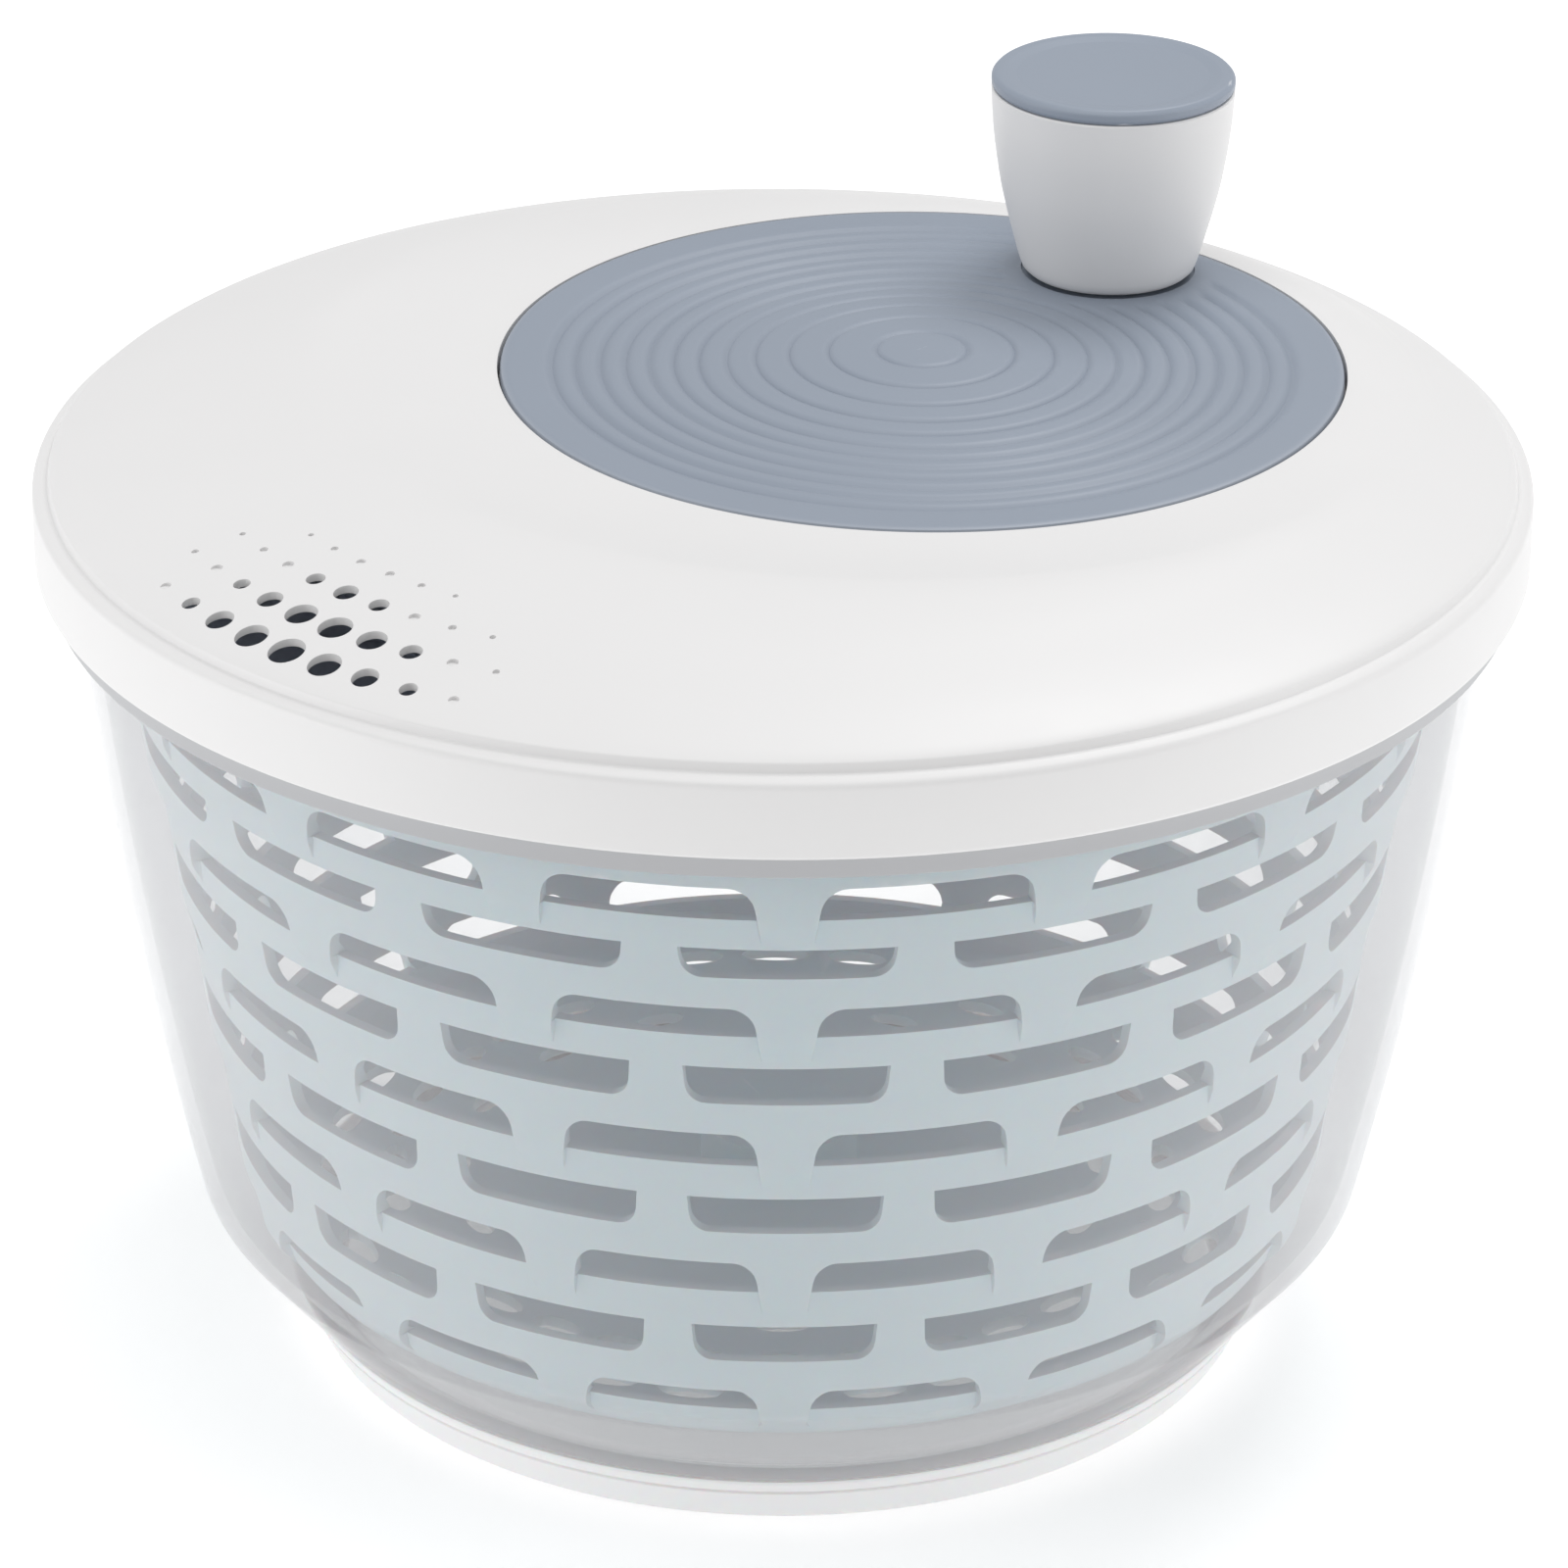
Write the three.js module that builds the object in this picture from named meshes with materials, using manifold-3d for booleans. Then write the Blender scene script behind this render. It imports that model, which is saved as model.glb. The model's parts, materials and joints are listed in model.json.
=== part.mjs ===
// Salad spinner. A hand crank, set off-centre in the lid, turns a slotted basket in a clear bowl
// through an internal gear. Millimetres, +Z up, origin on the table under the bowl's centre.
import * as THREE from 'three';
import Module from 'manifold-3d';

const wasm = await Module();
wasm.setup();
const { Manifold, Mesh } = wasm;

// ---- Driving dimensions ----
const GAP = 0.3;                 // clearance between neighbouring pieces
const ROUND = 40;                // sides of the large round pieces
const RIM_Z = 162.3;             // height of the lid's bead above the table
const LID_R = 130;
const SKIRT_DROP = 17;           // the lid's skirt below the bead
const SHEET = 2.4;               // moulded wall of the lid

const BOWL_WALL = 2.5;
const BOWL_TOP_R = 124.1;        // outside, at the skirt's lower edge
const BOWL_FOOT_R = 106.6;       // outside, where the wall turns under
const BOWL_BULGE = 1.9;          // outward bow of the wall at mid height
const BOWL_TURN_Z = 30.6;
const BOWL_FLOOR_Z = 12.3;
const FOOT_R = 91;
const FOOT_H = 9.9;

const BASKET_WALL = 2.2;
const BASKET_FLOOR_Z = 20;
const SLOTS = 16;                // slots in each row of the basket
const RIB_A = 9.9;               // rib width in the odd rows
const RIB_B = 8.6;               // rib width in the even rows
const BASKET_FRONT = rad(-89.4); // direction of one odd-row rib's centre

const GEAR_MODULE = 2.25;
const PINION_TEETH = 15;
const RING_TEETH = 45;
const BACKLASH = 0.4;            // along the pitch circle
const GEAR_Z = [157.2, 163.1];

const DISC_R = 74.8;
const DISC_TOP = 171.8;
const DISC_T = 4.1;
const DISC_AZ = rad(43.4);       // direction of the crank's axis from the lid's axis
const DISH_AZ = rad(56);
const DISH_R = 99.5;             // soft crest round the dish in the lid
const DISH_OFFSET = 25.9;
const KNOB_AZ = rad(52.8);
const KNOB_OFFSET = 58;          // knob's axis from the crank's axis

// ---- Derived places ----
const PINION_R = GEAR_MODULE * PINION_TEETH / 2;
const RING_R = GEAR_MODULE * RING_TEETH / 2;
const AXIS = [0, 0];
const DISC = polar(AXIS, RING_R - PINION_R, DISC_AZ);
const DISH = polar(AXIS, DISH_OFFSET, DISH_AZ);
const KNOB = polar(DISC, KNOB_OFFSET, KNOB_AZ);
const DISC_UNDER = DISC_TOP - DISC_T;
const SKIRT_Z = RIM_Z - SKIRT_DROP;

// ---- Materials ----
const clear = new THREE.MeshStandardMaterial({ color: 0xeef4f5, transparent: true, opacity: 0.35 });
const mint = new THREE.MeshStandardMaterial({ color: 0xd2e3e2 });
const white = new THREE.MeshStandardMaterial({ color: 0xededed });
const slate = new THREE.MeshStandardMaterial({ color: 0xa3adb8 });
const frosted = new THREE.MeshStandardMaterial({ color: 0xe3e6e6 });
const acetal = new THREE.MeshStandardMaterial({ color: 0xf4f2ea });
const steel = new THREE.MeshStandardMaterial({ color: 0xb8bcc0, metalness: 1, roughness: 0.35 });

// ---- Geometry helpers ----
function rad(degrees) { return degrees * Math.PI / 180; }

function polar([x, y], r, a) { return [x + r * Math.cos(a), y + r * Math.sin(a)]; }

// Piecewise-linear reading of a table of [x, y] rows whose x rises.
function along(table, x) {
  const i = Math.max(1, table.findIndex((row) => row[0] >= x));
  const [[x0, y0], [x1, y1]] = [table[i - 1], table[i]];
  return y0 + (y1 - y0) * (x - x0) / (x1 - x0);
}

function solid(points, triangles) {
  const geometry = new THREE.BufferGeometry();
  geometry.setAttribute('position', new THREE.Float32BufferAttribute(points.flat(), 3));
  geometry.setIndex(triangles.flat());
  return geometry;
}

// Solid of revolution about the vertical through [cx, cy]. The profile is a closed run of [r, z]
// that rises along the outside; points on the axis have r = 0.
function lathe(profile, segments, [cx, cy] = AXIS) {
  const points = [];
  const rings = profile.map(([r, z]) => {
    const start = points.length;
    const count = r === 0 ? 1 : segments;
    for (let k = 0; k < count; k++) points.push([...polar([cx, cy], r, k * 2 * Math.PI / segments), z]);
    return (k) => start + (r === 0 ? 0 : k % segments);
  });
  const triangles = [];
  profile.forEach(([r0], i) => {
    const [r1] = profile[(i + 1) % profile.length];
    const [low, high] = [rings[i], rings[(i + 1) % rings.length]];
    for (let k = 0; k < segments; k++) {
      if (r0 > 0) triangles.push([low(k), low(k + 1), high(k + 1)]);
      if (r1 > 0) triangles.push([low(k), high(k + 1), high(k)]);
    }
  });
  return solid(points, triangles);
}

// Closed skin through a run of rings, each a function from an angle to a point [x, y, z].
function loft(rings, segments) {
  const points = rings.flatMap((ring) =>
    Array.from({ length: segments }, (_, k) => ring(k * 2 * Math.PI / segments)));
  const at = (i, k) => (i % rings.length) * segments + k % segments;
  const triangles = [];
  for (let i = 0; i < rings.length; i++) {
    for (let k = 0; k < segments; k++) {
      triangles.push([at(i, k), at(i, k + 1), at(i + 1, k + 1)], [at(i, k), at(i + 1, k + 1), at(i + 1, k)]);
    }
  }
  return solid(points, triangles);
}

// Upright prism of a closed outline [x, y], with holes.
function prism(outline, holes, z0, z1) {
  const toVectors = (run) => run.map(([x, y]) => new THREE.Vector2(x, y));
  const faces = THREE.ShapeUtils.triangulateShape(toVectors(outline), holes.map(toVectors));
  const runs = [outline, ...holes];
  const flat = runs.flat();
  const n = flat.length;
  const points = [...flat.map((p) => [...p, z0]), ...flat.map((p) => [...p, z1])];
  const triangles = faces.flatMap(([a, b, c]) => [[a, c, b], [a + n, b + n, c + n]]);
  let start = 0;
  for (const run of runs) {
    run.forEach((_, i) => {
      const [a, b] = [start + i, start + (i + 1) % run.length];
      triangles.push([a, b, b + n], [a, b + n, a + n]);
    });
    start += run.length;
  }
  return solid(points, triangles);
}

function circle(centre, r, sides, turn = 0) {
  return Array.from({ length: sides }, (_, k) => polar(centre, r, turn + k * 2 * Math.PI / sides));
}

function rod(centre, r, z0, z1, sides = 12) { return prism(circle(centre, r, sides), [], z0, z1); }

function toManifold(geometry) {
  const mesh = new Mesh({
    numProp: 3,
    vertProperties: geometry.getAttribute('position').array,
    triVerts: Uint32Array.from(geometry.index.array),
  });
  mesh.merge();
  return new Manifold(mesh);
}

function fromManifold(manifold) {
  const mesh = manifold.getMesh();
  const geometry = new THREE.BufferGeometry();
  geometry.setAttribute('position', new THREE.BufferAttribute(mesh.vertProperties, 3));
  geometry.setIndex(new THREE.BufferAttribute(mesh.triVerts, 1));
  return geometry;
}

// The base with the added solids joined on, then the cut ones taken away.
function shaped(base, added, cuts) {
  let result = toManifold(base);
  for (const geometry of added) result = result.add(toManifold(geometry));
  for (const geometry of cuts) result = result.subtract(toManifold(geometry));
  return fromManifold(result);
}

const model = new THREE.Group();
model.name = 'salad_spinner';

function add(name, geometry, material) {
  const mesh = new THREE.Mesh(geometry, material);
  mesh.name = name;
  model.add(mesh);
}

// ---- Bowl ----
function bowlRadius(z) {
  const u = (SKIRT_Z - z) / (SKIRT_Z - BOWL_TURN_Z);
  return BOWL_TOP_R * (1 - u) + BOWL_FOOT_R * u + 4 * BOWL_BULGE * u * (1 - u);
}

const PIVOT_BOSS_R = 5;
const PIVOT_BOSS_TOP = 27;
const PIN_R = 3;
const FOOT_SKIRT = [83.3, 85.6];       // inner and outer radius of the wall the foot ring clips round

function bowl() {
  const heights = [BOWL_TURN_Z, 64, 105, SKIRT_Z];
  const outside = heights.map((z) => [bowlRadius(z), z]);
  const inside = heights.map((z) => [bowlRadius(z) - BOWL_WALL, z + 0.5]).reverse();
  return lathe([
    [0, 9.8], [FOOT_SKIRT[0], 9.8], [FOOT_SKIRT[0], 2.3], [FOOT_SKIRT[1], 2.3],
    [FOOT_SKIRT[1], FOOT_H + GAP], [FOOT_R, FOOT_H + GAP], [104.2, 27],
    ...outside, [125, 153], [126.4, 156.5], [126.4, 161.9], [123.6, 161.9], [122.6, 153],
    ...inside, [102.4, 28.6], [90, BOWL_FLOOR_Z], [8, BOWL_FLOOR_Z], [PIVOT_BOSS_R, 14.5],
    [PIVOT_BOSS_R, PIVOT_BOSS_TOP], [PIN_R + GAP, PIVOT_BOSS_TOP], [PIN_R + GAP, 16], [0, 16],
  ], ROUND);
}

function footRing() {
  const inner = FOOT_SKIRT[1] + GAP;
  return lathe([
    [80.5, 0], [86.4, 0], [FOOT_R, FOOT_H], [inner, FOOT_H], [inner, 2.3 - GAP], [80.5, 2.3 - GAP],
  ], ROUND);
}

// ---- Basket ----
const BUSH_R = 11.9;
const BUSH_TOP = 29.7;
// Outside of the basket from the rim down to the hub: radius, height, corner set, and whether the
// row below is slotted.
const BASKET_RUN = [
  [118.2, 146.5, 'A'], [117.4, 140, 'A'],
  [117.1, 137.7, 'A', 'slots'], [116.3, 131.2, 'A'], [114.4, 125.4, 'B', 'slots'], [113.7, 119.8, 'B'],
  [112.9, 113.7, 'A', 'slots'], [112.0, 107.4, 'A'], [109.6, 101.1, 'B', 'slots'], [108.7, 93.9, 'B'],
  [108.0, 87.7, 'A', 'slots'], [107.1, 81.0, 'A'], [105.3, 74.2, 'B', 'slots'], [104.5, 67.2, 'B'],
  [103.8, 60.8, 'A', 'slots'], [102.9, 54.3, 'A'], [100.8, 46.9, 'B', 'slots'], [100.0, 39.6, 'B'],
  [99.3, 33.1, 'A', 'slots'], [98.4, 28.5, 'A'], [95.0, 22.4, 'A'], [88, BASKET_FLOOR_Z, 'A'],
  [80, BASKET_FLOOR_Z, 'B', 'slots'], [68, BASKET_FLOOR_Z, 'B'],
  [58, BASKET_FLOOR_Z, 'A', 'slots'], [44, BASKET_FLOOR_Z, 'A'],
  [BUSH_R + 0.4, BASKET_FLOOR_Z, 'A'], [BUSH_R + 0.4, BUSH_TOP + GAP, 'A'], [0, BUSH_TOP + GAP, 'A'],
];
const RIM_NOTCHES = 4;

// Corner angles round the basket: set A edges the ribs of the A rows, set B those of the B rows.
const PITCH = 2 * Math.PI / SLOTS;
const HALF_A = RIB_A / 2 / 108;
const HALF_B = RIB_B / 2 / 108;
const CORNERS = {
  A: [-HALF_A, HALF_A, PITCH / 2],
  B: [0, PITCH / 2 - HALF_B, PITCH / 2 + HALF_B],
};
const CORNER_COUNT = 3 * SLOTS;

// Whether the cell below station `row` between corners j and j + 1 is a slot or a rim notch.
function isOpenCell(row, j) {
  if (row === 0) return j % (CORNER_COUNT / RIM_NOTCHES) === 1;
  if (BASKET_RUN[row][3] !== 'slots') return false;
  return BASKET_RUN[row][2] === 'A' ? j % 3 !== 0 : j % 3 !== 1;
}

// Inner face of the basket's wall or floor opposite an outer station.
function basketInside([r, z]) {
  if (r > 90 && z > 24) return [r - BASKET_WALL, z];
  if (r > 90) return [r - 1.6, z + 1.5];
  return [r > 0 && r < 20 ? r + BASKET_WALL : r, z + BASKET_WALL];
}

function basket() {
  const points = [];
  const [out, inn] = [BASKET_RUN, BASKET_RUN.map(basketInside)].map((run) => run.map(([r, z], row) => {
    const start = points.length;
    const set = CORNERS[BASKET_RUN[row][2]];
    const count = r === 0 ? 1 : CORNER_COUNT;
    for (let j = 0; j < count; j++) {
      points.push([...polar(AXIS, r, BASKET_FRONT + Math.floor(j / 3) * PITCH + set[j % 3]), z]);
    }
    return (j) => start + (j + count) % count;
  }));
  const last = BASKET_RUN.length - 1;
  const setOf = (row) => BASKET_RUN[row][2];
  const present = (row, j) => row >= 0 && row < last
    && !(setOf(row) === setOf(row + 1) && isOpenCell(row, (j + CORNER_COUNT) % CORNER_COUNT));
  const triangles = [];
  const face = (...corners) => {
    const ring = corners.filter((c, i) => c !== corners[(i + 1) % corners.length]);
    for (let i = 2; i < ring.length; i++) triangles.push([ring[0], ring[i - 1], ring[i]]);
  };
  for (let i = 0; i < last; i++) {
    const [top, low, topIn, lowIn] = [out[i], out[i + 1], inn[i], inn[i + 1]];
    for (let j = 0; j < CORNER_COUNT; j++) {
      if (present(i, j) && !present(i - 1, j)) face(top(j), top(j + 1), topIn(j + 1), topIn(j));
      if (!present(i, j) && present(i - 1, j)) face(topIn(j), topIn(j + 1), top(j + 1), top(j));
      if (setOf(i) === 'A' && setOf(i + 1) === 'B') {
        face(low(j), top(j + 1), top(j));
        face(low(j), low(j + 1), top(j + 1));
        face(topIn(j), topIn(j + 1), lowIn(j));
        face(topIn(j + 1), lowIn(j + 1), lowIn(j));
        continue;
      }
      if (setOf(i) === 'B' && setOf(i + 1) === 'A') {
        face(low(j), low(j + 1), top(j));
        face(low(j + 1), top(j + 1), top(j));
        face(topIn(j), lowIn(j + 1), lowIn(j));
        face(topIn(j), topIn(j + 1), lowIn(j + 1));
        continue;
      }
      if (!present(i, j)) continue;
      face(low(j), low(j + 1), top(j + 1), top(j));
      face(topIn(j), topIn(j + 1), lowIn(j + 1), lowIn(j));
      if (!present(i, j + 1)) face(low(j + 1), lowIn(j + 1), topIn(j + 1), top(j + 1));
      if (!present(i, j - 1)) face(top(j), topIn(j), lowIn(j), low(j));
    }
  }
  return solid(points, triangles);
}

function notchAngle(k) {
  return BASKET_FRONT + (HALF_A + PITCH / 2) / 2 + k * 2 * Math.PI / RIM_NOTCHES;
}

// ---- Drive plate and pinion under the lid ----
const PLATE_R = 112.5;
const PLATE_Z = [144.5, 147];
const PLATE_HUB_TOP = 151;
const JOURNAL_R = 7.5;

function drivePlate() {
  const lug = (k) => {
    const a = notchAngle(k);
    const half = 4 / PLATE_R;
    const corners = [[108, -half], [117.8, -half], [117.8, half], [108, half]];
    return prism(corners.map(([r, t]) => polar(AXIS, r, a + t)), [], 141.6, PLATE_Z[1]);
  };
  const plate = lathe([
    [0, PLATE_Z[0]], [PLATE_R, PLATE_Z[0]], [PLATE_R, 149.5], [PLATE_R - 2.2, 149.5],
    [PLATE_R - 2.2, PLATE_Z[1]], [12, PLATE_Z[1]], [12, PLATE_HUB_TOP], [0, PLATE_HUB_TOP],
  ], ROUND);
  return shaped(plate, [0, 1, 2, 3].map(lug), [
    rod(AXIS, JOURNAL_R - 0.1, PLATE_Z[1], PLATE_HUB_TOP + 1, 6),
    rod(AXIS, 1.9, PLATE_Z[0] - 1, PLATE_Z[1] + 1),
  ]);
}

// Half the angle a tooth fills at radius r, for an involute gear of pitch radius pitchR.
function toothHalfAngle(r, pitchR, teeth) {
  const involute = (angle) => Math.tan(angle) - angle;
  const base = pitchR * Math.cos(rad(20));
  const flank = involute(Math.acos(Math.min(1, base / r)));
  return Math.PI / 2 / teeth + involute(rad(20)) - flank;
}

// Closed run of flank points for a gear, tooth zero centred on `start`.
function toothed(centre, teeth, radii, halfAngles, start) {
  return Array.from({ length: teeth }, (_, k) => {
    const middle = start + k * 2 * Math.PI / teeth;
    const rising = radii.map((r, i) => polar(centre, r, middle - halfAngles[i]));
    const falling = radii.map((r, i) => polar(centre, r, middle + halfAngles[i])).reverse();
    return [...rising, ...falling];
  }).flat();
}

function drivePinion() {
  const radii = [PINION_R - 2.9, PINION_R, PINION_R + 1.9];
  const slack = BACKLASH / 4 / PINION_R;
  const halves = radii.map((r) => toothHalfAngle(r, PINION_R, PINION_TEETH) - slack);
  const outline = toothed(AXIS, PINION_TEETH, radii, halves, DISC_AZ + Math.PI);
  return shaped(prism(outline, [], GEAR_Z[0] + 0.1, GEAR_Z[1] - 0.1), [
    rod(AXIS, JOURNAL_R, PLATE_HUB_TOP, GEAR_Z[1] - 1, 24),
    rod(AXIS, JOURNAL_R - 0.5, PLATE_Z[1] + GAP, PLATE_HUB_TOP, 6),
  ], [rod(AXIS, 1.8, 146, 160.5)]);
}

// ---- Crank disc and its internal gear ----
const RING_OUT_R = 59;
const GEAR_SCREW_R = 56.6;
const GEAR_SCREW_ANGLES = [rad(10), rad(130), rad(250)];
const SPINDLE_BOSS_TOP = 178.7;

function ringGear() {
  const radii = [RING_R + 2.6, RING_R - 1.9];
  const slack = BACKLASH / 4 / RING_R;
  const halves = radii.map((r) => toothHalfAngle(r, RING_R, RING_TEETH) + slack).reverse();
  const spaces = toothed(DISC, RING_TEETH, [...radii].reverse(), halves, DISC_AZ + Math.PI);
  const holes = GEAR_SCREW_ANGLES.map((a) => circle(polar(DISC, GEAR_SCREW_R, a), 1.5, 8).reverse());
  return prism(circle(DISC, RING_OUT_R, 48), [spaces.reverse(), ...holes], ...GEAR_Z);
}

function crankDisc() {
  const rib = GEAR_Z[1] + GAP;
  const disc = lathe([
    [0, 152.6], [4.6, 152.6], [4.6, DISC_UNDER], [53.9, DISC_UNDER], [53.9, rib], [58.8, rib],
    [58.8, DISC_UNDER], [DISC_R, DISC_UNDER], [DISC_R, DISC_TOP - 0.6], [DISC_R - 0.6, DISC_TOP],
    [41, DISC_TOP], [32, DISC_TOP + 0.6], [18, DISC_TOP + 1.8], [0, DISC_TOP + 2.4],
  ], ROUND, DISC);
  const recess = lathe([
    [12, DISC_TOP - 0.6], [16, DISC_TOP - 0.6], [16, DISC_TOP + 1], [12, DISC_TOP + 1],
  ], 32, KNOB);
  return shaped(disc, [rod(KNOB, 8, DISC_TOP - 1, SPINDLE_BOSS_TOP, 24)], [
    recess,
    rod(KNOB, PIN_R + GAP, 169, SPINDLE_BOSS_TOP + 1, 16),
    rod(DISC, 1.7, 152, 163),
    ...GEAR_SCREW_ANGLES.map((a) => rod(polar(DISC, GEAR_SCREW_R, a), 1.5, rib - 1, 167.5)),
  ]);
}

// Cap screw from its head's outer face at z, with the shank running towards +Z or -Z.
function screw([x, y], z, { head, headHeight, shank, length, up = true }) {
  const way = up ? 1 : -1;
  const run = [
    [0, headHeight * 0.5], [head * 0.45, headHeight * 0.5], [head * 0.5, 0], [head, 0],
    [head, headHeight], [shank, headHeight], [shank, headHeight + length], [0, headHeight + length],
  ].map(([r, h]) => [r, z + way * h]);
  return lathe(up ? run : run.reverse(), 8, [x, y]);
}

// ---- Knob ----
function knobParts() {
  add('knob_spindle', lathe([
    [0, 169.3], [PIN_R, 169.3], [PIN_R, 196.2], [1.7, 196.2], [1.7, 185.5], [0, 185.5],
  ], 16, KNOB), steel);
  add('knob_bush', lathe([
    [3.3, 179.2], [6.8, 179.2], [6.8, 180.7], [4.3, 180.7], [4.3, 195.6], [3.3, 195.6],
  ], 20, KNOB), acetal);
  add('knob_body', lathe([
    [12.2, 172.1], [14.9, 172.1], [15.8, 172.9], [17.3, 178], [18.8, 183.6], [20, 188.6],
    [21.1, 195], [21.8, 201], [22.1, 206.8], [19.8, 206.8], [19.1, 197], [18, 190.5],
    [7.5, 190.5], [7.5, 195], [4.6, 195], [4.6, 181.1], [7.5, 181.1], [7.5, 187.5], [16.6, 187.5],
    [15, 180.5], [13.4, 174],
  ], 28, KNOB), white);
  add('knob_screw', screw(KNOB, 199, {
    head: 5.5, headHeight: 2.4, shank: 1.4, length: 10.4, up: false }), steel);
  add('knob_cap', lathe([
    [0, 207.1], [16.8, 207.1], [16.8, 203], [19.1, 203], [19.1, 207.1], [21.6, 207.1], [22.1, 207.8],
    [22.1, 208.9], [21.2, 209.8], [19.8, 209.8], [12, 209.3], [0, 209.2],
  ], 28, KNOB), slate);
}

// ---- Lid ----
// Height of the domed top above the rim bead, by distance from the lid's axis.
const DOME = [
  [0, 14], [50, 13.2], [70, 12.3], [85, 11.1], [96, 9.8], [104, 8.4], [112.5, 6.9], [121, 5],
  [127.4, 2.9], [131, 1],
];
const DISC_HOLE_R = DISC_R + 0.5;
const SHELF_Z = [164.8, 167.2];
const SHELF_R = 63;
const LID_SCREW_R = 82;
const LID_SCREW_ANGLES = [45, 135, 225, 315].map((a) => DISC_AZ + rad(a));
const HOUSING_FLANGE_Z = [158.2, 160.7];

// Pour holes through the lid: row radius, middle angle, spacing, and the width of each hole.
const POUR_ROWS = [
  { r: 121, middle: 228.8, step: 4, widths: [3.4, 5.2, 6.2, 6.8, 6.2, 5, 3.4] },
  { r: 112.5, middle: 228.1, step: 4, widths: [3.2, 4.8, 6, 6.4, 5.6, 4.2] },
  { r: 104, middle: 226.9, step: 4.1, widths: [3.6, 4.6, 3.8] },
];

function lidRing(centre, r, height) {
  return (a) => {
    const [x, y] = polar(centre, r, a);
    return [x, y, typeof height === 'number' ? height : height(x, y, a)];
  };
}

const mix = (a, b, t) => a + (b - a) * t;
const domeZ = (x, y) => RIM_Z + along(DOME, Math.hypot(x, y));

// Rings of the lid's top, from the edge groove in to the crest and down the dish to the disc.
function lidTop(drop) {
  const rings = [0.3, 0.6, 0.85, 1].map((t) =>
    lidRing([DISH[0] * t, DISH[1] * t], mix(126.4, DISH_R, t), (x, y) => domeZ(x, y) - drop));
  const edge = DISC_TOP - 0.3 - drop;
  const dish = [0.2, 0.6].map((t) => lidRing(
    [mix(DISH[0], DISC[0], t), mix(DISH[1], DISC[1], t)], mix(DISH_R, DISC_HOLE_R, t),
    (x, y, a) => mix(domeZ(...polar(DISH, DISH_R, a)) - drop, edge, Math.sin(t * Math.PI / 2))));
  return [...rings, ...dish];
}

function lidShell() {
  const skin = loft([
    lidRing(AXIS, 127.2, SKIRT_Z + 0.6), lidRing(AXIS, 128.2, SKIRT_Z), lidRing(AXIS, 129.8, SKIRT_Z + 1.5),
    lidRing(AXIS, 130.4, SKIRT_Z + 3.6), lidRing(AXIS, 130.4, RIM_Z - 1.4), lidRing(AXIS, LID_R, RIM_Z),
    lidRing(AXIS, 128.6, RIM_Z + 0.6), lidRing(AXIS, 127.4, RIM_Z + 2.5),
    ...lidTop(0), lidRing(DISC, DISC_HOLE_R, DISC_TOP - 0.3), lidRing(DISC, DISC_HOLE_R, SHELF_Z[1]),
    lidRing(DISC, SHELF_R, SHELF_Z[1]), lidRing(DISC, SHELF_R, SHELF_Z[0]),
    lidRing(DISC, DISC_HOLE_R + 2, SHELF_Z[0]), lidRing(DISC, DISC_HOLE_R + 2, DISC_TOP - 0.3 - SHEET),
    ...lidTop(SHEET).reverse(), lidRing(AXIS, 127.2, RIM_Z - 0.1),
  ], ROUND);
  const bosses = LID_SCREW_ANGLES.map((a) => {
    const [x, y] = polar(DISC, LID_SCREW_R, a);
    return rod([x, y], 4.5, HOUSING_FLANGE_Z[1] + GAP, 169.4, 16);
  });
  const pilots = LID_SCREW_ANGLES.map((a) => rod(polar(DISC, LID_SCREW_R, a), 1.5, 160, 167));
  const pours = POUR_ROWS.flatMap(({ r, middle, step, widths }) => widths.map((width, i) => {
    const a = rad(middle + (i - (widths.length - 1) / 2) * step);
    return prism(circle(polar(AXIS, r, a), width / 2, 8), [], 150, 180);
  }));
  return shaped(skin, bosses, [...pilots, ...pours]);
}

function gearHousing() {
  const sleeve = lathe([[5, 153.5], [8, 153.5], [8, 166.9], [5, 166.9]], 20, DISC);
  const bearing = lathe([[6, 151.6], [11, 151.6], [11, 157], [6, 157]], 24);
  const cup = lathe([
    [0, 153.5], [62.5, 153.5], [62.5, HOUSING_FLANGE_Z[0]], [87, HOUSING_FLANGE_Z[0]],
    [87, HOUSING_FLANGE_Z[1]], [62.5, HOUSING_FLANGE_Z[1]], [62.5, 166.5], [60.5, 166.5], [60.5, 156],
    [0, 156],
  ], ROUND, DISC);
  return shaped(cup, [sleeve, bearing], [
    rod(DISC, 5, 150, 168, 20), rod(AXIS, JOURNAL_R + 0.4, 150, 158, 24),
    ...LID_SCREW_ANGLES.map((a) => rod(polar(DISC, LID_SCREW_R, a), 1.9, 157, 162)),
  ]);
}

// ---- Assembly ----
add('bowl', bowl(), clear);
add('foot_ring', footRing(), frosted);
add('pivot_pin', lathe([[0, 16.3], [PIN_R, 16.3], [PIN_R, 27.8], [2.2, 28.4], [0, 28.4]], 16), steel);
add('pivot_bush', lathe([
  [PIVOT_BOSS_R + 0.4, 15.2], [15, 15.2], [15, 19.6], [BUSH_R, 19.6], [BUSH_R, BUSH_TOP - 0.8],
  [BUSH_R - 0.8, BUSH_TOP], [0, BUSH_TOP], [0, 28.7], [PIN_R + GAP, 28.7], [PIN_R + GAP, 27.4],
  [PIVOT_BOSS_R + 0.4, 27.4],
], 24), acetal);
add('basket', basket(), mint);
add('drive_plate', drivePlate(), slate);
add('drive_pinion', drivePinion(), acetal);
add('drive_screw', screw(AXIS, 142, { head: 4.2, headHeight: 2.2, shank: 1.5, length: 15.5 }), steel);
add('lid_shell', lidShell(), white);
add('gear_housing', gearHousing(), white);
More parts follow.
